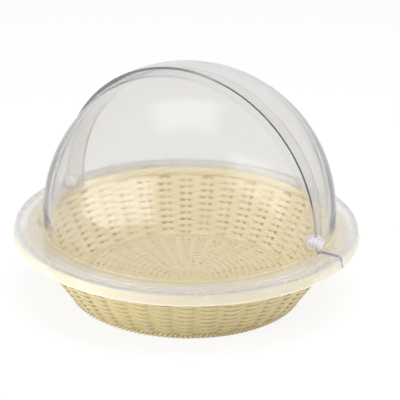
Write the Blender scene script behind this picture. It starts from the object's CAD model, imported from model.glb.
"""Countertop bread display bin: the woven bowl, its clear roll-top cover and a plain stage.

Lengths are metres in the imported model's frame: X along the cover's pivot axis,
-Y to the front, +Z up, origin at the centre of the ring that the bowl stands on.
"""

import math

import bpy
import numpy as np
from mathutils import Matrix, Vector


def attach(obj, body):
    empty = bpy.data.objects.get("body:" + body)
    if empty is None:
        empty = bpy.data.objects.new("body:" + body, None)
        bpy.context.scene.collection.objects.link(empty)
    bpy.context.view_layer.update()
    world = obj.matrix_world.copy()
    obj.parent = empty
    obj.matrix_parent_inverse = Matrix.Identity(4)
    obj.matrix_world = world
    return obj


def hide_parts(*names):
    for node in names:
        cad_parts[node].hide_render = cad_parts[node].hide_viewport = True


bl_info = {
    "name": "Countertop bread display bin",
    "version": (1, 0, 0),
    "blender": (4, 5, 0),
    "location": "View3D > Sidebar > Bread bin",
    "description": "Woven bowl, clear roll-top cover and stage around the packed model",
    "category": "Add Mesh",
}

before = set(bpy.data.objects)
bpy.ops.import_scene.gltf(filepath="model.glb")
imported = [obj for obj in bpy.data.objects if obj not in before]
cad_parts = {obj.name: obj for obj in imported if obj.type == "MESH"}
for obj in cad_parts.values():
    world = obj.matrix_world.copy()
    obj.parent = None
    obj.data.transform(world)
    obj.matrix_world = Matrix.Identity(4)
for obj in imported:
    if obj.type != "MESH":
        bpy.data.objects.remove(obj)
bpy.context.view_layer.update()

MM = 0.001
STAKES = 40
STAKE_STEP = 2 * math.pi / STAKES
# points along a strand from one stake or spoke to the next
WEAVE_STEPS = 12

# Millimetres from here on, up to the settings. The wall's outer side is an arc in the plane of
# radius and height, through its foot and its top with a bulge between them, as in the solids.
WALL_FOOT, WALL_TOP, WALL_BULGE = (136.0, 5.0), (176.5, 70.0), 2.4
# from the wall's outer side to the middle of its weave
MID_INSET = 1.7
# lengths up the side: the lowest strand, and the ends of a stake
FIRST_ROW = 4.4
STAKE_FOOT, STAKE_TOP = 0.6, 74.0
# how much wider a stake is at its top
STAKE_FLARE = 0.9
# the share of a panel by which the wall's weave is turned, so that its strands swing furthest
# at the stakes
WEAVE_TURN = 0.46
# how far one strand wanders up and down, and all of them together
ROW_WANDER, WALL_WANDER = 0.07, 0.12
# how much wider and thinner a strand gets where it passes a stake, as shares of its own size
PASS_SPREAD, PASS_THIN = 0.54, 0.15
# how far a stake gives way to each strand, and the points along it
STAKE_GIVE, STAKE_POINTS = 0.6, 74

# the height of the middle of the floor's weave
FLOOR_MID = 5.75
# the floor's strands: how far they swing and wander, and half their thickness
FLOOR_SWING, FLOOR_WANDER, FLOOR_HALF_T = 1.15, 0.06, 0.85
# their width as a share of the pitch, between two spokes and what is added at a spoke
FLOOR_WIDTH, FLOOR_SPREAD = 0.99, 0.3
# sets of floor rings: name, inner and outer radius, spokes, and the share of a panel by
# which the weave is turned
FLOOR_RINGS = (
    ("floor_rings_inner", 18.0, 57.0, 20, 0.0),
    ("floor_rings_outer", 58.5, 130.0, 40, 0.5),
)
SPOKE_R, SPOKE_POINTS = 131.0, 90
# a spoke cane's half width at these radii
SPOKE_HALF_W = ((0.0, 50.0, 75.0, SPOKE_R), (1.15, 1.15, 1.9, 2.1))
# degrees between pairs of canes, and between the two canes of a pair once they have parted
PAIR_ANGLE, PARTED_ANGLE = 18.0, 9.0
# radii between which a pair parts
PART_FROM, PART_TO = 48.0, 74.0
# half the spacing of a pair's two canes before they part, the spacing of pairs where the four
# quarters cross, and the radius round which they stop running side by side
HALF_GAP, CROSS_PITCH, CROSS_R = 1.22, 4.9, 14.0
# how far the quarters pass over and under each other, and the radii over which that ends
CROSS_LIFT, CROSS_FLAT, CROSS_FADE = 0.95, 17.0, 4.0

# radius and height of the middle line of the border and of the foot ring
BORDER_R, BORDER_Z = 181.0, 72.5
FOOT_R, FOOT_Z = 132.0, 4.0
# the thin twist that lies where the floor turns up into the wall
TURN_R, TURN_Z = FOOT_R + 1.9, 8.2

# the height of the pivot axis
PIVOT_Z = 99.0
# the planes Y of each shell's cut faces, on its dome and on its brim
REAR_CUTS, FRONT_CUTS = (-3.0, 10.5), (23.5, 8.5)
# how near a point must be to such a plane, and the height up to which the brim's counts
CUT_NEAR, CUT_BRIM_TOP = 0.3, 91.0

# the seeds of each piece's random draws
WALL_SEED, STAKE_SEED, FLOOR_SEED = 7, 11, 3
# the angle between two faces from which their edge is shaded sharp, in degrees
SHARP_ANGLE = 60


def side_arc(foot, top, bulge):
    """Centre, radius and foot angle of the circle through foot and top that bulges outwards:
    radius = (chord^2 / 4 + bulge^2) / (2 bulge), centre on the chord's middle line."""
    chord = math.dist(foot, top)
    radius = (chord ** 2 / 4 + bulge ** 2) / (2 * bulge)
    out = ((top[1] - foot[1]) / chord, (foot[0] - top[0]) / chord)
    centre = tuple((foot[k] + top[k]) / 2 - out[k] * (radius - bulge) for k in (0, 1))
    return centre, radius, math.atan2(foot[1] - centre[1], foot[0] - centre[0])


SIDE_CENTRE, SIDE_RADIUS, SIDE_FOOT_ANGLE = side_arc(WALL_FOOT, WALL_TOP, WALL_BULGE)


# ---------------------------------------------------------------- settings

def size(name, text, default, low, high):
    """A length in metres."""
    return bpy.props.FloatProperty(
        name=name, description=text, default=default, min=low, max=high, unit="LENGTH", precision=4
    )


def amount(name, text, default, low=0.0, high=1.0):
    """A plain factor."""
    return bpy.props.FloatProperty(
        name=name, description=text, default=default, min=low, max=high, subtype="FACTOR"
    )


def colour(name, text, default):
    """A scene-linear colour."""
    return bpy.props.FloatVectorProperty(
        name=name, description=text, default=default, size=3, min=0.0, max=1.0, subtype="COLOR"
    )


def angle(name, text, degrees):
    """An angle, with its default in degrees."""
    return bpy.props.FloatProperty(
        name=name, description=text, default=math.radians(degrees), subtype="ANGLE"
    )


def watts(name, text, default):
    """A lamp's power."""
    return bpy.props.FloatProperty(name=name, description=text, default=default, min=0.0, unit="POWER")


class BreadBinBowl(bpy.types.PropertyGroup):
    """Sizes and colours of the woven bowl."""

    rows: bpy.props.IntProperty(
        name="Wall rows", description="Strands woven round the wall, one above another",
        default=18, min=8, max=18,
    )
    row_pitch: size("Row pitch", "Spacing of the strands up the wall", 0.00408, 0.003, 0.006)
    strand_t: size("Strand thickness", "Thickness of a strand", 0.0017, 0.001, 0.003)
    weave_depth: size(
        "Weave depth", "How far a strand swings to each side of the wall's middle", 0.0017, 0.001, 0.002
    )
    stake_w: size("Stake width", "Width of a stake at the foot", 0.0032, 0.003, 0.006)
    stake_t: size("Stake thickness", "Thickness of a stake", 0.0021, 0.001, 0.003)
    straw: colour("Straw", "Colour of the strands", (0.895, 0.770, 0.490))
    straw_deep: colour("Deep straw", "Colour of the darker strands", (0.815, 0.695, 0.370))
    outer_depth: amount("Outer depth", "How much deeper the colour is on the bowl's outside", 0.55)
    tucked: colour("Tucked straw", "Colour of a strand where it goes behind a stake", (0.500, 0.390, 0.175))


class BreadBinCover(bpy.types.PropertyGroup):
    """Colours and finish of the clear cover."""

    clear: colour("Clear plastic", "Tint of the clear plastic", (0.880, 0.881, 0.884))
    grazing: colour("Grazing tint", "Tint of the plastic where it is seen at a low angle", (0.45, 0.45, 0.46))
    edge: colour("Cut edge", "Tint of the plastic on its cut edges, low down", (0.66, 0.60, 0.69))
    brim_edge: colour("Brim cut edge", "Tint of the plastic on the brim's cut edges", (0.44, 0.35, 0.54))
    high_edge: colour("High cut edge", "Tint of the plastic on its cut edges, high up", (0.30, 0.30, 0.31))
    right_edge: colour("Right cut edge", "The same to the right of the cover's middle", (0.95, 0.94, 0.97))
    brim: colour("Brim", "Tint of the plastic in the flat of the brim", (0.83, 0.815, 0.81))
    rear_brim: colour("Rear brim", "Tint of the plastic in the rear of the brim", (0.93, 0.93, 0.94))
    lip: colour("Lip", "Tint of the plastic at the brim's outer edge", (0.75, 0.735, 0.76))
    skirt: colour("Skirt", "Tint of the plastic in the lip's upright wall", (1.0, 0.963, 0.845))
    clearness: amount("Clearness", "Share of light that goes through without scatter", 0.965)
    brim_clearness: amount("Brim clearness", "The same in the flat of the brim", 0.80)
    skirt_clearness: amount("Skirt clearness", "The same in the lip's upright wall", 0.68)
    edge_clearness: amount("Edge clearness", "The same on the cut edges", 0.3)
    hem_scatter: amount("Hem scatter", "Share of light that the lip's lowest edge scatters", 0.7)
    gloss: amount("Roughness", "Roughness of the clear plastic", 0.05)
    brim_gloss: amount("Brim roughness", "Roughness of the plastic in the brim", 0.16)
    lip_gloss: amount("Lip roughness", "Roughness of the plastic at the brim's outer edge", 0.32)
    pivot: colour("Pivot plastic", "Colour of the pivot pins", (0.95, 0.91, 0.94))
    pivot_clearness: amount("Pivot clearness", "Share of light that goes through the pivots", 0.6)


class BreadBinStage(bpy.types.PropertyGroup):
    """Camera, even light and lamps."""

    azimuth: angle("Azimuth", "Angle of the camera round the bowl", 31.42)
    elevation: angle("Elevation", "Angle of the camera above the counter", 22.54)
    roll: angle("Roll", "Tilt of the camera about its own view", 0.79)
    distance: size("Distance", "Distance of the camera from the point it was fitted on", 2.578, 1.0, 6.0)
    lens: bpy.props.FloatProperty(
        name="Lens", description="Focal length in millimetres", default=202.4, min=50.0, max=400.0,
    )
    world_level: amount("World level", "Strength of the even light from all round", 0.44, 0.0, 2.0)
    softbox_power: watts("Softbox", "Power of the overhead softbox", 7.2)
    top_power: watts("Top", "Power of the lamp above the bowl", 15.0)
    key_power: watts("Key", "Power of the lamp at the camera's left", 34.0)
    key_sheen: watts("Key sheen", "Power of its twin that only the plastic's inner side mirrors", 66.0)
    fill_power: watts("Fill", "Power of the lamp at the bowl's right", 16.0)
    fill_sheen: watts("Fill sheen", "Power of its twin that only the plastic's inner side mirrors", 24.0)


# ---------------------------------------------------------------- meshes

def put_mesh(name, verts, faces, uvs, tags):
    """Makes a mesh object from points in millimetres, a list of face arrays (each with
    one corner count) and their UVs. The signed volume tells which way the faces turn,
    and they are turned over if it is negative. tags gives a number for each point by name."""
    verts = np.asarray(verts, float).reshape(-1, 3) * MM
    tris = np.concatenate([
        np.stack([f[:, 0], f[:, k], f[:, k + 1]], 1) for f in faces for k in range(1, f.shape[1] - 1)
    ])
    a, b, c = verts[tris[:, 0]], verts[tris[:, 1]], verts[tris[:, 2]]
    if np.einsum("ij,ij->i", a, np.cross(b, c)).sum() < 0:
        faces = [f[:, ::-1] for f in faces]
        uvs = [u[:, ::-1] for u in uvs]
    corners = np.concatenate([f.ravel() for f in faces]).astype(np.int32)
    totals = np.concatenate([np.full(len(f), f.shape[1]) for f in faces]).astype(np.int32)
    starts = (np.cumsum(totals) - totals).astype(np.int32)
    mesh = bpy.data.meshes.new(name)
    mesh.vertices.add(len(verts))
    mesh.vertices.foreach_set("co", verts.ravel())
    mesh.loops.add(len(corners))
    mesh.loops.foreach_set("vertex_index", corners)
    mesh.polygons.add(len(totals))
    mesh.polygons.foreach_set("loop_start", starts)
    mesh.update(calc_edges=True)
    layer = mesh.uv_layers.new(name="UVMap")
    layer.uv.foreach_set("vector", np.concatenate([u.reshape(-1, 2) for u in uvs]).ravel())
    for key, values in tags.items():
        mark = mesh.attributes.new(key, "FLOAT", "POINT")
        mark.data.foreach_set("value", np.asarray(values, float).ravel())
    mesh.validate()
    mesh.shade_smooth()
    mesh.set_sharp_from_angle(angle=math.radians(SHARP_ANGLE))
    obj = bpy.data.objects.new(name, mesh)
    bpy.context.scene.collection.objects.link(obj)
    return obj


def unit(v):
    """v scaled to length 1 along its last axis."""
    return v / np.linalg.norm(v, axis=-1, keepdims=True)


def ease(x, low, high):
    """0 below low, 1 above high, and 3 t^2 - 2 t^3 between them."""
    t = np.clip((x - low) / (high - low), 0, 1)
    return t * t * (3 - 2 * t)


def swing(c):
    """How far to a side a strand is, where c is 0 in the middle of a panel and +1 or -1 at a
    stake: it eases up from the middle and stays out beside the stake, so that a slit opens."""
    return np.sign(c) * ease(np.abs(c), 0.30, 0.95)


def drift(rng, count, theta, size_mm):
    """A slow wander for each of count rows: a sum of three sine waves round the bowl."""
    out = np.zeros((count, theta.size))
    for wave in (2, 5, 9):
        phase = rng.uniform(0, 2 * math.pi, (count, 1))
        out += np.sin(wave * theta[None, :] + phase) / wave ** 0.5
    return out * size_mm


def full_turn(count):
    """count angles, evenly spaced round a circle from 0."""
    return np.arange(count) * 2 * math.pi / count


def around(r, z, theta):
    """The points (or directions) at radius r, height z and angle theta."""
    return np.stack([r * np.cos(theta), r * np.sin(theta), z], -1)


def side_point(s, off):
    """Radius, height and outward normal of the wall at length s up its side, off the middle
    by off: the arc's centre plus (radius - inset + off) times (cos, sin) of foot angle + s / radius."""
    a = SIDE_FOOT_ANGLE + s / SIDE_RADIUS
    r = SIDE_RADIUS - MID_INSET + off
    return SIDE_CENTRE[0] + r * np.cos(a), SIDE_CENTRE[1] + r * np.sin(a), a


def corner(x, power):
    """sign(x) |x|^(2 / power): makes an oval of a circle's cosine and sine for power 2, and
    squares it off for a greater power."""
    return np.sign(x) * np.abs(x) ** (2 / power)


def quad_uv(u0, u1, v0, v1):
    """The UVs of quads that run from u0 to u1 along a strand and from v0 to v1 round it."""
    corners = ((u0, v0), (u1, v0), (u1, v1), (u0, v1))
    return np.stack([np.stack(pair, 1) for pair in corners], 1)


def strand_mesh(
    name, paths, wide, half_w, half_t, closed, tone, lean=0.0, face=1, sides=8, power=3.0, groove=0.0
):
    """Carries an oval section along each path. paths is (strands, points, 3) and wide the
    direction of the section's width at each point. A corner at angle a of the section lies
    half_w * sign(cos a) |cos a|^(2/power) along wide and half_t * sign(sin a) |sin a|^(2/power)
    along the strand's thickness, and groove pulls the middle of both faces in. tone is each
    strand's shade. lean is how far it swings towards its thickness at each point, -1 to 1,
    and its other face is marked as tucked there. face is 1 where the thickness points out of
    the bowl and -1 where it points in."""
    paths = np.asarray(paths, float)
    strands, points, _ = paths.shape
    if closed:
        along = np.roll(paths, -1, 1) - np.roll(paths, 1, 1)
    else:
        along = np.gradient(paths, axis=1)
    thick = unit(np.cross(unit(along), wide))
    flat = unit(np.cross(thick, unit(along)))
    a = (np.arange(sides) + 0.5) * 2 * math.pi / sides
    across, proud = corner(np.cos(a), power), corner(np.sin(a), power)
    groove_w = 0.35
    proud = proud * (1 - groove * np.exp(-((across / groove_w) ** 2)))
    half_w = np.broadcast_to(half_w, (strands, points))[..., None, None]
    half_t = np.broadcast_to(half_t, (strands, points))[..., None, None]
    verts = (
        paths[:, :, None, :]
        + half_w * across[:, None] * flat[:, :, None, :]
        + half_t * proud[:, None] * thick[:, :, None, :]
    )
    steps = points if closed else points - 1
    s, i, j = np.meshgrid(np.arange(strands), np.arange(steps), np.arange(sides), indexing="ij")
    s, i, j = s.ravel(), i.ravel(), j.ravel()
    base = s * points * sides
    i1, j1 = (i + 1) % points, (j + 1) % sides
    quads = np.stack([
        base + i * sides + j, base + i1 * sides + j, base + i1 * sides + j1, base + i * sides + j1
    ], 1)
    length = np.linalg.norm(np.diff(paths, axis=1), axis=2).mean() * MM
    faces = [quads]
    uvs = [quad_uv(i * length, (i + 1) * length, j / sides, (j + 1) / sides)]
    if not closed:
        first = np.arange(strands)[:, None] * points * sides + np.arange(sides)
        faces += [first, (first + (points - 1) * sides)[:, ::-1]]
        uvs += [np.zeros((strands, sides, 2))] * 2
    shape = (strands, points, sides)
    lean = np.broadcast_to(lean, (strands, points))[..., None]
    return put_mesh(name, verts, faces, uvs, {
        "strand": np.broadcast_to(np.asarray(tone, float)[:, None, None], shape),
        "tucked": np.broadcast_to(np.clip(-lean * np.sign(proud), 0, 1), shape),
        "outer": np.broadcast_to(face * proud > 0, shape),
    })


def rope_ring(name, centre_r, centre_z, lobe_r, lobe_at, lobes, wraps, steps, crease):
    """A ring of twisted strands. Round the section the outline is that of circles of radius
    lobe_r set lobe_at from the middle: rho = lobe_at cos p + sqrt(lobe_r^2 - (lobe_at sin p)^2),
    where p is the angle from the nearest circle, and the circles turn wraps / lobes times
    round the ring. crease darkens the grooves, and the ring is cut flat at the counter."""
    per_lobe = 8
    lobe_angle = 2 * math.pi / lobes
    t, f = np.meshgrid(full_turn(wraps * steps), full_turn(lobes * per_lobe), indexing="ij")
    p = (f + lobe_angle / 2) % lobe_angle - lobe_angle / 2
    rho = lobe_at * np.cos(p) + np.sqrt(np.maximum(lobe_r ** 2 - (lobe_at * np.sin(p)) ** 2, 0.0))
    spin = f + t * wraps / lobes
    z = np.maximum(centre_z + rho * np.sin(spin), 0.0)
    verts = around(centre_r + rho * np.cos(spin), z, t)
    n, m = t.shape
    i, j = np.meshgrid(np.arange(n), np.arange(m), indexing="ij")
    i, j = i.ravel(), j.ravel()
    # the last section meets the first one turned on by the twist left over
    carry = (wraps * per_lobe) % m
    last = (i + 1 == n)
    i1 = (i + 1) % n
    ja = np.where(last, (j + carry) % m, j)
    jb = np.where(last, (j + 1 + carry) % m, (j + 1) % m)
    quads = np.stack([i * m + j, i1 * m + ja, i1 * m + jb, i * m + (j + 1) % m], 1)
    step = 2 * math.pi * centre_r * MM / n
    uv = quad_uv(i * step, (i + 1) * step, j / m, (j + 1) / m)
    lobe = np.floor((f + lobe_angle / 2) / lobe_angle) % lobes
    deep = np.abs(p) / (lobe_angle / 2)
    return put_mesh(name, verts, [quads], [uv], {
        "strand": lobe * 2 % lobes / lobes, "tucked": deep ** 4 * crease, "outer": np.cos(spin) > 0.3,
    })


# ---------------------------------------------------------------- materials

class Nodes:
    """Short calls for building the node tree of a material, a world or a lamp."""

    def __init__(self, owner):
        owner.use_nodes = True
        self.owner = owner
        self.tree = owner.node_tree
        self.tree.nodes.clear()

    def add(self, kind, **values):
        """A node; values set its properties, or its inputs where the name is an input's."""
        node = self.tree.nodes.new("ShaderNode" + kind)
        for key, value in values.items():
            if hasattr(node, key):
                setattr(node, key, value)
            else:
                self.feed(node, key.replace("_", " "), value)
        return node

    def feed(self, node, key, value):
        """Links a socket to an input, or sets the input's value."""
        socket = node.inputs[key]
        if isinstance(value, bpy.types.NodeSocket):
            self.tree.links.new(value, socket)
        else:
            socket.default_value = value

    def math(self, operation, a, b=None, clamp=False):
        """The result of a Math node."""
        node = self.add("Math", operation=operation, use_clamp=clamp)
        self.feed(node, 0, a)
        if b is not None:
            self.feed(node, 1, b)
        return node.outputs[0]

    def times(self, first, *others):
        """The product of all factors."""
        for other in others:
            first = self.math("MULTIPLY", first, other)
        return first

    def larger(self, a, b):
        """The larger of two values."""
        return self.math("MAXIMUM", a, b)

    def length(self, a, b):
        """sqrt(a^2 + b^2)."""
        return self.math("SQRT", self.math("ADD", self.times(a, a), self.times(b, b)))

    def mix(self, factor, a, b):
        """Colour a where the factor is 0, b where it is 1."""
        node = self.add("Mix", data_type="RGBA")
        for key, value in ((0, factor), (6, a), (7, b)):
            self.feed(node, key, value)
        return node.outputs[2]

    def blend(self, factor, a, b):
        """Shader a where the factor is 0, b where it is 1."""
        node = self.add("MixShader")
        for key, value in ((0, factor), (1, a.outputs[0]), (2, b.outputs[0])):
            self.feed(node, key, value)
        return node.outputs[0]

    def noise(self, vector, scale, detail=3.0):
        """Noise from 0 to 1."""
        node = self.add("TexNoise", noise_dimensions="3D", Vector=vector, Scale=scale, Detail=detail)
        return node.outputs["Fac"]

    def ramp(self, value, low, high, to_low=0.0, to_high=1.0):
        """to_low at low, to_high at high, even between them and held beyond them."""
        node = self.add(
            "MapRange", Value=value, From_Min=low, From_Max=high, To_Min=to_low, To_Max=to_high
        )
        return node.outputs["Result"]

    def below(self, value, low, high, full=1.0):
        """full up to low, and 0 from high on."""
        return self.ramp(value, low, high, full, 0.0)

    def tag(self, name):
        """A mesh attribute of that name."""
        return self.add("Attribute", attribute_name=name).outputs["Fac"]

    def axes(self, vector):
        """A vector's X, Y and Z."""
        node = self.add("SeparateXYZ")
        self.feed(node, 0, vector)
        return tuple(node.outputs[axis] for axis in "XYZ")

    def out(self, kind, socket):
        """Ends the tree in an output of that kind, and returns what the tree belongs to."""
        self.add("Output" + kind, Surface=socket)
        return self.owner


def rgba(value, scale=1.0):
    """A colour as four numbers, made darker or paler by scale."""
    return (value[0] * scale, value[1] * scale, value[2] * scale, 1.0)


# what is left of lamp light each time that it goes through a face of the plastic
LAMP_THROUGH = (0.965, 0.965, 0.97, 1.0)
PLASTIC_IOR = 1.49
# how much each of these deepens the straw's colour: slow patches, the strand's own shade, grain
PATCH_DEPTH, STRAND_DEPTH, GRAIN_DEPTH = 0.35, 0.25, 0.16
# how fine the grain is along and across a strand, and how fine the patches and the spots are
GRAIN_SCALE, PATCH_SCALE, SPOT_SCALE = (90.0, 34.0, 1.0), 14.0, 55.0
# the grain's relief: its strength, and its depth in metres
RELIEF, RELIEF_DEPTH = 0.35, 0.0004

# Zones of the cover in metres, each from where it starts to where it is full, or the other
# way round: radius and height of the brim and of the lip's parts, the rear of the brim along
# Y, and the pivot bosses by their distance from the pivot axis and from the middle.
BRIM_R, BRIM_Z = (0.168, 0.176), (0.086, 0.090)
LIP_R, SKIRT_Z, HEM_Z = (0.188, 0.194), (0.080, 0.083), (0.0722, 0.0730)
REAR_BRIM_Y = (0.11, 0.17)
BOSS_R, BOSS_X = (0.0085, 0.0095), 0.14
# Heights over which the tint of low angles grows at the dome's foot and fades towards its top.
DOME_FOOT_Z, DOME_TOP_Z = (0.088, 0.104), (0.16, 0.25)
# Heights over which the cut edge goes from its brim tint to its low one and to its high one.
LOW_EDGE_Z, HIGH_EDGE_Z = (0.086, 0.094), (0.15, 0.21)
# Above LINE_Z a cut edge is tinted only further from the dome's centre than LINE_REACH: that is
# all of it up to where LINE_X starts, and to the right of LINE_X a thin line at its outer side.
LINE_Z, LINE_X, LINE_REACH = (0.13, 0.15), (0.0, 0.06), (0.1685, 0.1712)


def straw_material(name, bowl, shade=1.0, rough=0.34):
    """Smooth synthetic cane: cream, a little deeper strand by strand and in slow patches, with
    fine grooves along each strand."""
    n = Nodes(bpy.data.materials.new(name))
    coords = n.add("TexCoord").outputs
    along = n.add("Mapping", Vector=coords["UV"], Scale=GRAIN_SCALE)
    grain = n.noise(along.outputs["Vector"], 1.0, 4.0)
    patches = n.noise(coords["Object"], PATCH_SCALE, 2.0)
    tone = n.times(n.ramp(patches, 0.35, 0.65), PATCH_DEPTH)
    tone = n.math("ADD", tone, n.times(n.tag("strand"), STRAND_DEPTH))
    tone = n.math("ADD", tone, n.times(n.ramp(grain, 0.25, 0.75), GRAIN_DEPTH))
    tone = n.math("ADD", tone, n.times(n.tag("outer"), bowl.outer_depth), clamp=True)
    base = n.mix(tone, rgba(bowl.straw, shade), rgba(bowl.straw_deep, shade))
    spots = n.ramp(n.noise(coords["Object"], SPOT_SCALE, 1.0), 0.38, 0.62, 0.35, 0.95)
    base = n.mix(n.times(n.ramp(n.tag("tucked"), 0.35, 0.85), spots), base, rgba(bowl.tucked))
    bump = n.add("Bump", Strength=RELIEF, Distance=RELIEF_DEPTH, Height=grain)
    shader = n.add(
        "BsdfPrincipled", Base_Color=base, Roughness=n.ramp(grain, 0.2, 0.8, rough - 0.08, rough + 0.1),
        Specular_IOR_Level=0.45, Normal=bump.outputs["Normal"],
    )
    return n.out("Material", shader.outputs[0])


def cover_zones(n):
    """Where on the cover a point lies: x, y and z, and a mask for each zone, 0 to 1."""
    x, y, z = n.axes(n.add("TexCoord").outputs["Object"])
    radius = n.length(x, y)
    rise = n.math("SUBTRACT", z, PIVOT_Z * MM)
    lip = n.ramp(radius, *LIP_R)
    line = n.math("GREATER_THAN", n.length(radius, rise), n.ramp(x, *LINE_X, *LINE_REACH))
    outside = n.math("GREATER_THAN", n.math("ABSOLUTE", x), BOSS_X)
    return {
        "x": x, "y": y, "z": z, "lip": lip,
        "brim": n.times(n.ramp(radius, *BRIM_R), n.below(z, *BRIM_Z)),
        "skirt": n.times(lip, n.below(z, *SKIRT_Z)),
        "boss": n.times(n.below(n.length(y, rise), *BOSS_R), outside),
        "line": n.larger(line, n.below(z, *LINE_Z)),
    }


def cut_faces(dome_y, brim_y, depth):
    """A mask for a shell's cut faces: 1 in the plane Y = brim_y below the foot of the dome, and
    depth in the plane Y = dome_y."""
    def mask(n, zone):
        dome, brim = (
            n.math("LESS_THAN", n.math("ABSOLUTE", n.math("SUBTRACT", zone["y"], at * MM)), CUT_NEAR * MM)
            for at in (dome_y, brim_y)
        )
        low = n.math("LESS_THAN", zone["z"], CUT_BRIM_TOP * MM)
        return n.larger(n.times(dome, depth), n.times(brim, low))
    return mask


def low_angle(n, z):
    """How low the angle is at which the plastic is seen: it grows slowly, then fast at the
    very outline, and is weaker near the top of the dome and at its foot."""
    facing = n.add("LayerWeight", Blend=0.5).outputs["Facing"]
    low = n.larger(n.ramp(facing, 0.35, 1.0, 0.0, 0.5), n.ramp(facing, 0.84, 1.0))
    return n.times(low, n.ramp(z, *DOME_TOP_Z, 1.0, 0.25), n.ramp(z, *DOME_FOOT_Z, 0.4, 1.0))


def cover_tint(n, cover, zone, low, edge):
    """The plastic's tint, zone over zone: dome, brim, lip and skirt, bosses, cut edges."""
    dome = n.mix(low, rgba(cover.clear), rgba(cover.grazing))
    flat = n.mix(n.ramp(zone["y"], *REAR_BRIM_Y), rgba(cover.brim), rgba(cover.rear_brim))
    outer = n.mix(zone["lip"], flat, rgba(cover.lip))
    tint = n.mix(zone["brim"], dome, n.mix(zone["skirt"], outer, rgba(cover.skirt)))
    tint = n.mix(zone["boss"], tint, rgba(cover.pivot))
    cut = n.mix(n.ramp(zone["z"], *LOW_EDGE_Z), rgba(cover.brim_edge), rgba(cover.edge))
    high = n.mix(n.ramp(zone["x"], *LINE_X), rgba(cover.high_edge), rgba(cover.right_edge))
    cut = n.mix(n.ramp(zone["z"], *HIGH_EDGE_Z), cut, high)
    return n.mix(edge, tint, cut)


def cover_clearness(n, cover, zone, edge):
    """The share of light that the plastic lets through without scatter, zone by zone."""
    brim = n.ramp(zone["skirt"], 0.0, 1.0, cover.brim_clearness, cover.skirt_clearness)
    hem = n.times(zone["lip"], n.below(zone["z"], *HEM_Z, full=cover.hem_scatter))
    return n.times(
        n.ramp(zone["brim"], 0.0, 1.0, cover.clearness, brim),
        n.math("SUBTRACT", 1.0, hem),
        n.ramp(zone["boss"], 0.0, 1.0, 1.0, cover.pivot_clearness),
        n.ramp(edge, 0.0, 1.0, 1.0, cover.edge_clearness),
    )


def clear_material(name, cover, cut_mask):
    """Clear moulded plastic that lets lamps through. cut_mask tells where the cut edges are,
    which have a deeper tint, and faint hazing varies the roughness."""
    n = Nodes(bpy.data.materials.new(name))
    zone = cover_zones(n)
    edge = n.times(cut_mask(n, zone), zone["line"])
    low = low_angle(n, zone["z"])
    haze = n.noise(n.add("TexCoord").outputs["Object"], 30.0, 3.0)
    brim_gloss = n.ramp(zone["lip"], 0.0, 1.0, cover.brim_gloss, cover.lip_gloss)
    gloss = n.ramp(zone["brim"], 0.0, 1.0, cover.gloss, brim_gloss)
    shader = n.add(
        "BsdfPrincipled", Base_Color=cover_tint(n, cover, zone, low, edge),
        Roughness=n.times(n.ramp(haze, 0.3, 0.7, 0.6, 1.6), gloss),
        IOR=n.ramp(low, 0.1, 0.8, PLASTIC_IOR, 1.3),
        Transmission_Weight=cover_clearness(n, cover, zone, edge),
    )
    through = n.add("BsdfTransparent", Color=LAMP_THROUGH)
    rays = n.add("LightPath").outputs
    lamp_ray = n.larger(rays["Is Shadow Ray"], rays["Is Diffuse Ray"])
    return n.out("Material", n.blend(lamp_ray, shader, through))


def pivot_material(cover):
    """Milky moulded plastic, faintly mottled."""
    n = Nodes(bpy.data.materials.new("pivot_plastic"))
    haze = n.noise(n.add("TexCoord").outputs["Object"], 220.0, 3.0)
    shader = n.add(
        "BsdfPrincipled", Base_Color=n.mix(haze, rgba(cover.pivot), rgba(cover.pivot, 0.9)),
        Roughness=n.ramp(haze, 0.3, 0.7, 0.28, 0.4), IOR=PLASTIC_IOR,
        Transmission_Weight=cover.pivot_clearness,
    )
    through = n.add("BsdfTransparent", Color=LAMP_THROUGH)
    return n.out("Material", n.blend(n.add("LightPath").outputs["Is Shadow Ray"], shader, through))


def give(obj, mat):
    """Sets every material slot of obj, or its first where it has none."""
    if not obj.material_slots:
        obj.data.materials.append(mat)
    for slot in obj.material_slots:
        slot.material = mat


def settle(obj, mat, body, nodes):
    """Gives a piece its material, body and slot, and the nodes that it stands for."""
    give(obj, mat)
    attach(obj, body)
    if nodes:
        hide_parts(*nodes)


# ---------------------------------------------------------------- pieces

class BREADBIN_OT_wall_rows(bpy.types.Operator):
    """Weaves the wall: each strand passes outside one stake and inside the next, and the row
    above it does the opposite"""

    bl_idname = "breadbin.wall_rows"
    bl_label = "Wall rows"

    def execute(self, context):
        bowl = context.scene.breadbin_bowl
        pitch, depth = bowl.row_pitch / MM, bowl.weave_depth / MM
        k = np.arange(bowl.rows)[:, None]
        theta = full_turn(STAKES * WEAVE_STEPS)
        rng = np.random.default_rng(WALL_SEED)
        c = np.cos(math.pi * (theta / STAKE_STEP + WEAVE_TURN))[None, :] * (-1.0) ** k
        own = drift(rng, bowl.rows, theta, ROW_WANDER)
        s = FIRST_ROW + pitch * k + own + drift(rng, 1, theta, WALL_WANDER)
        r, z, a = side_point(s, depth * swing(c))
        # beside a stake the strand spreads wide and flat
        over = ease(np.abs(c), 0.5, 0.95)
        half_w = pitch / 2 * (1.0 + PASS_SPREAD * over)
        half_t = bowl.strand_t / MM / 2 * (1 - PASS_THIN * over)
        obj = strand_mesh(
            "wall_rows", around(r, z, theta), around(-np.sin(a), np.cos(a), theta), half_w, half_t, True,
            rng.uniform(0, 1, bowl.rows), lean=swing(c), power=4.5,
        )
        settle(obj, straw_material("wall_straw", bowl), "basket", ["wall_weave"])
        return {"FINISHED"}


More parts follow.
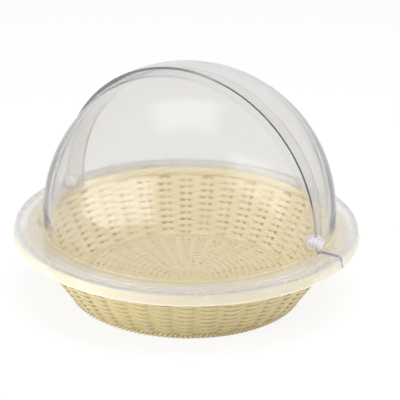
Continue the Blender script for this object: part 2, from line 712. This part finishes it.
class BREADBIN_OT_stakes(bpy.types.Operator):
    """Sets the upright stakes between the strands, each a pair of canes side by side"""

    bl_idname = "breadbin.stakes"
    bl_label = "Stakes"

    def execute(self, context):
        bowl = context.scene.breadbin_bowl
        mat = straw_material("stake_straw", bowl, shade=1.02, rough=0.32)
        pitch = bowl.row_pitch / MM
        s = np.linspace(STAKE_FOOT, STAKE_TOP, STAKE_POINTS)[None, :]
        half_w = (bowl.stake_w / MM + STAKE_FLARE * s / STAKE_TOP) / 2
        rng = np.random.default_rng(STAKE_SEED)
        for i in range(1, STAKES + 1):
            theta = (i - 0.5) * STAKE_STEP
            # a stake gives way a little to each strand that passes it
            r, z, _ = side_point(s, -STAKE_GIVE * np.cos(math.pi * ((s - FIRST_ROW) / pitch + i)))
            path = around(r, z, theta)
            wide = np.broadcast_to(np.array([-math.sin(theta), math.cos(theta), 0.0]), path.shape)
            obj = strand_mesh(
                f"cane_stake_{i:02d}", path, wide, half_w, bowl.stake_t / MM / 2, False,
                rng.uniform(0, 0.7, 1), face=-1, sides=12, groove=0.3,
            )
            settle(obj, mat, "basket", [f"stake_{i:02d}"])
        return {"FINISHED"}


class BREADBIN_OT_floor(bpy.types.Operator):
    """Weaves the floor: rings of strand over spokes that cross in the middle and split in
    pairs further out"""

    bl_idname = "breadbin.floor"
    bl_label = "Woven floor"

    def execute(self, context):
        bowl = context.scene.breadbin_bowl
        mat = straw_material("floor_straw", bowl, shade=0.97)
        pitch = bowl.row_pitch / MM
        rng = np.random.default_rng(FLOOR_SEED)
        for name, inner, outer, spokes, turn in FLOOR_RINGS:
            radii = np.arange(inner, outer, pitch)
            k = np.arange(len(radii))[:, None]
            theta = full_turn(spokes * WEAVE_STEPS)
            c = np.cos(math.pi * (theta / (2 * math.pi / spokes) + turn))[None, :] * (-1.0) ** k
            r = radii[:, None] + drift(rng, len(radii), theta, FLOOR_WANDER)
            path = around(r, FLOOR_MID + FLOOR_SWING * swing(c), theta)
            wide = np.broadcast_to(around(1.0, 0 * theta, theta)[None], path.shape)
            half_w = pitch / 2 * (FLOOR_WIDTH + FLOOR_SPREAD * np.abs(c) ** 3)
            obj = strand_mesh(
                name, path, wide, half_w, FLOOR_HALF_T, True, rng.uniform(0, 1, len(radii)), lean=-swing(c)
            )
            settle(obj, mat, "basket", ["base_weave"])
        t = np.linspace(0.0, SPOKE_R, SPOKE_POINTS)
        paths = np.array([spoke_path(t, g, m, h) for g in range(4) for m in range(-2, 3) for h in (-1, 1)])
        wide = unit(np.cross(unit(np.gradient(paths, axis=1)), np.array([0.0, 0.0, 1.0])))
        half_w = np.interp(t, *SPOKE_HALF_W)[None, :]
        tone = rng.uniform(0, 0.8, len(paths))
        obj = strand_mesh("floor_spokes", paths, wide, half_w, FLOOR_HALF_T, False, tone)
        settle(obj, straw_material("spoke_straw", bowl), "basket", [])
        return {"FINISHED"}


def spoke_path(t, g, m, h):
    """One cane of the floor, t along it from the middle: in its quarter g it runs beside its
    neighbours, pair m off the quarter's line, then fans out to m times the angle between pairs,
    and further out the two canes h = -1 and 1 of the pair part."""
    fan = math.radians(PAIR_ANGLE * m)
    near = np.exp(-((t / CROSS_R) ** 2))
    x = t * math.cos(fan)
    y = np.sign(m) * np.sqrt((t * math.sin(fan)) ** 2 + (CROSS_PITCH * m) ** 2 * near)
    parted = t * math.tan(math.radians(PARTED_ANGLE / 2))
    gap = h * (HALF_GAP + ease(t, PART_FROM, PART_TO) * (parted - HALF_GAP))
    lean = fan * (1 - near)
    x, y = x - gap * np.sin(lean), y + gap * np.cos(lean)
    over = 1.0 if g % 2 else -1.0
    z = FLOOR_MID + over * CROSS_LIFT * np.clip((CROSS_FLAT - t) / CROSS_FADE, 0, 1)
    turn = g * math.pi / 2
    return np.stack([x * math.cos(turn) - y * math.sin(turn), x * math.sin(turn) + y * math.cos(turn), z], -1)


class BREADBIN_OT_rings(bpy.types.Operator):
    """Lays the rolled border, the braided foot ring and the twist above it"""

    bl_idname = "breadbin.rings"
    bl_label = "Border and foot"

    def execute(self, context):
        bowl = context.scene.breadbin_bowl
        border = rope_ring(
            "rolled_border", BORDER_R, BORDER_Z,
            lobe_r=2.9, lobe_at=3.6, lobes=7, wraps=40, steps=10, crease=0.35,
        )
        mat = straw_material("border_straw", bowl, shade=0.95)
        settle(border, mat, "basket", ["border_roll"])
        foot = rope_ring(
            "braided_foot", FOOT_R, FOOT_Z,
            lobe_r=2.45, lobe_at=2.05, lobes=3, wraps=149, steps=8, crease=0.8,
        )
        mat = straw_material("foot_straw", bowl, shade=0.95)
        settle(foot, mat, "basket", ["foot_ring"])
        turn = rope_ring(
            "turn_twist", TURN_R, TURN_Z,
            lobe_r=1.25, lobe_at=1.1, lobes=3, wraps=80, steps=8, crease=0.8,
        )
        settle(turn, straw_material("turn_straw", bowl), "basket", [])
        return {"FINISHED"}


class BREADBIN_OT_covers(bpy.types.Operator):
    """Gives the two clear shells their plastic"""

    bl_idname = "breadbin.covers"
    bl_label = "Clear covers"

    def execute(self, context):
        cover = context.scene.breadbin_cover
        for side, cuts, depth in (("rear", REAR_CUTS, 1.0), ("front", FRONT_CUTS, 0.2)):
            mat = clear_material(side + "_clear", cover, cut_faces(*cuts, depth))
            give(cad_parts[side + "_cover"], mat)
        return {"FINISHED"}


class BREADBIN_OT_pivots(bpy.types.Operator):
    """Gives the pins, spacers and caps their milky plastic"""

    bl_idname = "breadbin.pivots"
    bl_label = "Pivots"

    def execute(self, context):
        mat = pivot_material(context.scene.breadbin_cover)
        for side in ("left", "right"):
            for kind in ("pin", "spacer", "cap"):
                give(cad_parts[f"pivot_{kind}_{side}"], mat)
        return {"FINISHED"}


# ---------------------------------------------------------------- stage

# the photograph's width and middle in pixels, and the pixel in it of the point on the bowl's
# axis that the camera was fitted on, with that point's height in metres
PHOTO_WIDTH, PHOTO_MIDDLE, FIT_PIXEL, FIT_Z = 400, 199.5, (186.7, 179.8), 0.1355
SENSOR_WIDTH = 36.0
# the counter: half its width in metres, its colour, and the glow that the camera sees on it
# with the share of that glow
COUNTER_HALF, COUNTER_COLOUR = 30.0, (0.70, 0.695, 0.685, 1.0)
GLOW, GLOW_SHARE = 1.12, 0.75
WHITE = (1.0, 1.0, 1.0, 1.0)
# each lamp's width, height and rim, and its place, all but the rim in metres
LAMPS = {
    "softbox": ((1.6, 1.3, 0.6), (-0.21, 0.25, 1.75)),
    "top": ((1.2, 1.2, 0.3), (0.25, -0.05, 1.8)),
    "key": ((2.7, 1.4, 0.45), (-0.85, -1.55, 0.62)),
    "fill": ((2.0, 1.05, 0.6), (1.39, 0.32, 0.82)),
}
# the height that the lamps are aimed at, and how far out a twin hangs as a share of its lamp's place
AIM_Z, TWIN_SHARE = 0.1, 0.97


def camera_axes(azimuth, elevation, roll):
    """Right, up and back of a camera turned azimuth round the bowl, raised by elevation and
    rolled about its own view."""
    level = math.cos(elevation)
    back = Vector((math.sin(azimuth) * level, -math.cos(azimuth) * level, math.sin(elevation)))
    right = Vector((math.cos(azimuth), math.sin(azimuth), 0.0))
    up = back.cross(right)
    return (
        right * math.cos(roll) + up * math.sin(roll),
        up * math.cos(roll) - right * math.sin(roll),
        back,
    )


def seen_rays(n):
    """1 for rays from the camera, also where the plastic mirrors them or lets them through."""
    rays = n.add("LightPath").outputs
    return n.larger(n.larger(rays["Is Camera Ray"], rays["Is Glossy Ray"]), rays["Is Transmission Ray"])


class BREADBIN_OT_stage(bpy.types.Operator):
    """Sets the camera, the world, the counter and the lamps"""

    bl_idname = "breadbin.stage"
    bl_label = "Stage"

    def execute(self, context):
        scene = context.scene
        stage = scene.breadbin_stage
        self.camera(scene, stage)
        self.world(scene, stage)
        self.counter(scene)
        # the dome mirrors the softbox as a soft patch, and doesn't mirror the lamp above
        self.hang(scene, stage, "softbox", "softbox", stage.softbox_power)
        self.hang(scene, stage, "top", "top", stage.top_power, hidden=("glossy", "transmission"))
        self.twins(scene, stage, "key", stage.key_power, stage.key_sheen)
        self.twins(scene, stage, "fill", stage.fill_power, stage.fill_sheen)
        scene.view_settings.view_transform = "Standard"
        return {"FINISHED"}

    def camera(self, scene, stage):
        """The camera stands where the photograph was taken from, and is turned so that the
        picture's middle falls on its axis."""
        right, up, back = camera_axes(stage.azimuth, stage.elevation, stage.roll)
        place = Vector((0, 0, FIT_Z)) + back * stage.distance
        pixels = stage.lens / SENSOR_WIDTH * PHOTO_WIDTH
        aside, down = ((PHOTO_MIDDLE - pixel) / pixels for pixel in FIT_PIXEL)
        view = (right * aside - up * down - back).normalized()
        turn = (-back).rotation_difference(view).to_matrix()
        data = bpy.data.cameras.new("photo_camera")
        data.lens = stage.lens
        data.sensor_width = SENSOR_WIDTH
        data.clip_end = 100.0
        obj = bpy.data.objects.new("photo_camera", data)
        matrix = Matrix((turn @ right, turn @ up, -view)).transposed().to_4x4()
        matrix.translation = place
        obj.matrix_world = matrix
        scene.collection.objects.link(obj)
        scene.camera = obj

    def world(self, scene, stage):
        """White to the camera and in the plastic, and an even light of the set level."""
        n = Nodes(bpy.data.worlds.new("studio"))
        strength = n.ramp(seen_rays(n), 0.0, 1.0, stage.world_level, 1.0)
        sky = n.add("Background", Color=WHITE, Strength=strength)
        scene.world = n.out("World", sky.outputs[0])

    def counter(self, scene):
        """A white counter that keeps the bowl's shadow."""
        n = Nodes(bpy.data.materials.new("counter_white"))
        diffuse = n.add("BsdfDiffuse", Color=COUNTER_COLOUR)
        glow = n.add("Emission", Color=WHITE, Strength=GLOW)
        mat = n.out("Material", n.blend(n.times(seen_rays(n), GLOW_SHARE), diffuse, glow))
        corners = [(x * COUNTER_HALF, y * COUNTER_HALF, 0) for x, y in ((-1, -1), (1, -1), (1, 1), (-1, 1))]
        mesh = bpy.data.meshes.new("counter")
        mesh.from_pydata(corners, [], [(0, 1, 2, 3)])
        mesh.materials.append(mat)
        obj = bpy.data.objects.new("counter", mesh)
        scene.collection.objects.link(obj)

    def twins(self, scene, stage, name, power, sheen):
        """A wide low lamp that lights the cane, and just before it one that only the plastic's
        inner side mirrors, so that the dome's outline isn't lost in a highlight from any side."""
        self.hang(scene, stage, name, name, power, hidden=("glossy", "transmission"))
        self.hang(scene, stage, name + "_sheen", name, sheen, hidden=("diffuse", "glossy"), share=TWIN_SHARE)

    def hang(self, scene, stage, name, kind, power, hidden=(), share=1.0):
        """Hangs a lamp of that kind at a share of its place, aimed at the bowl and level with the
        camera's right. Neither the camera's rays nor those named in hidden meet it."""
        shape, place = LAMPS[kind]
        obj = bpy.data.objects.new(name, self.lamp(name, power, *shape))
        for rays in ("camera", *hidden):
            setattr(obj, "visible_" + rays, False)
        place = Vector(place) * share
        right = Vector((math.cos(stage.azimuth), math.sin(stage.azimuth), 0.0))
        back = (place - Vector((0, 0, AIM_Z))).normalized()
        right = (right - back * right.dot(back)).normalized()
        turn = Matrix((right, back.cross(right), back)).transposed().to_4x4()
        obj.matrix_world = Matrix.Translation(place) @ turn
        scene.collection.objects.link(obj)

    def lamp(self, name, power, width, height, rim):
        """A rectangular lamp that fades to nothing at its edge, over the share rim of its half
        width: an eased ramp of the larger of |2 u - 1| and |2 v - 1| across it."""
        data = bpy.data.lights.new(name, "AREA")
        data.shape = "RECTANGLE"
        data.size, data.size_y = width, height
        data.energy = power
        n = Nodes(data)
        across = n.add("NewGeometry").outputs["Parametric"]
        middle = n.add("Mapping", Vector=across, Location=(-1.0, -1.0, 0.0), Scale=(2.0, 2.0, 0.0))
        u, v, _ = n.axes(middle.outputs["Vector"])
        reach = n.larger(n.math("ABSOLUTE", u), n.math("ABSOLUTE", v))
        plateau = n.add(
            "MapRange", interpolation_type="SMOOTHSTEP", Value=reach, From_Min=1.0, From_Max=1.0 - rim
        )
        glow = n.add("Emission", Strength=plateau.outputs["Result"])
        return n.out("Light", glow.outputs[0])


# ---------------------------------------------------------------- panel

STEPS = (
    BREADBIN_OT_stage, BREADBIN_OT_wall_rows, BREADBIN_OT_stakes, BREADBIN_OT_floor,
    BREADBIN_OT_rings, BREADBIN_OT_covers, BREADBIN_OT_pivots,
)
GROUPS = (
    ("breadbin_bowl", BreadBinBowl), ("breadbin_cover", BreadBinCover), ("breadbin_stage", BreadBinStage),
)


class BREADBIN_PT_panel(bpy.types.Panel):
    """Lists the pieces and their settings"""

    bl_idname = "BREADBIN_PT_panel"
    bl_label = "Bread bin"
    bl_space_type = "VIEW_3D"
    bl_region_type = "UI"
    bl_category = "Bread bin"

    def draw(self, context):
        for step in STEPS:
            self.layout.operator(step.bl_idname)
        for name, group in GROUPS:
            box = self.layout.box()
            for key in group.__annotations__:
                box.prop(getattr(context.scene, name), key)


def register():
    for name, group in GROUPS:
        bpy.utils.register_class(group)
        setattr(bpy.types.Scene, name, bpy.props.PointerProperty(type=group))
    for cls in STEPS + (BREADBIN_PT_panel,):
        bpy.utils.register_class(cls)


def unregister():
    for cls in reversed(STEPS + (BREADBIN_PT_panel,)):
        bpy.utils.unregister_class(cls)
    for name, group in reversed(GROUPS):
        delattr(bpy.types.Scene, name)
        bpy.utils.unregister_class(group)


def main():
    register()
    for step in STEPS:
        group, call = step.bl_idname.split(".")
        getattr(getattr(bpy.ops, group), call)()


if __name__ == "__main__":
    main()
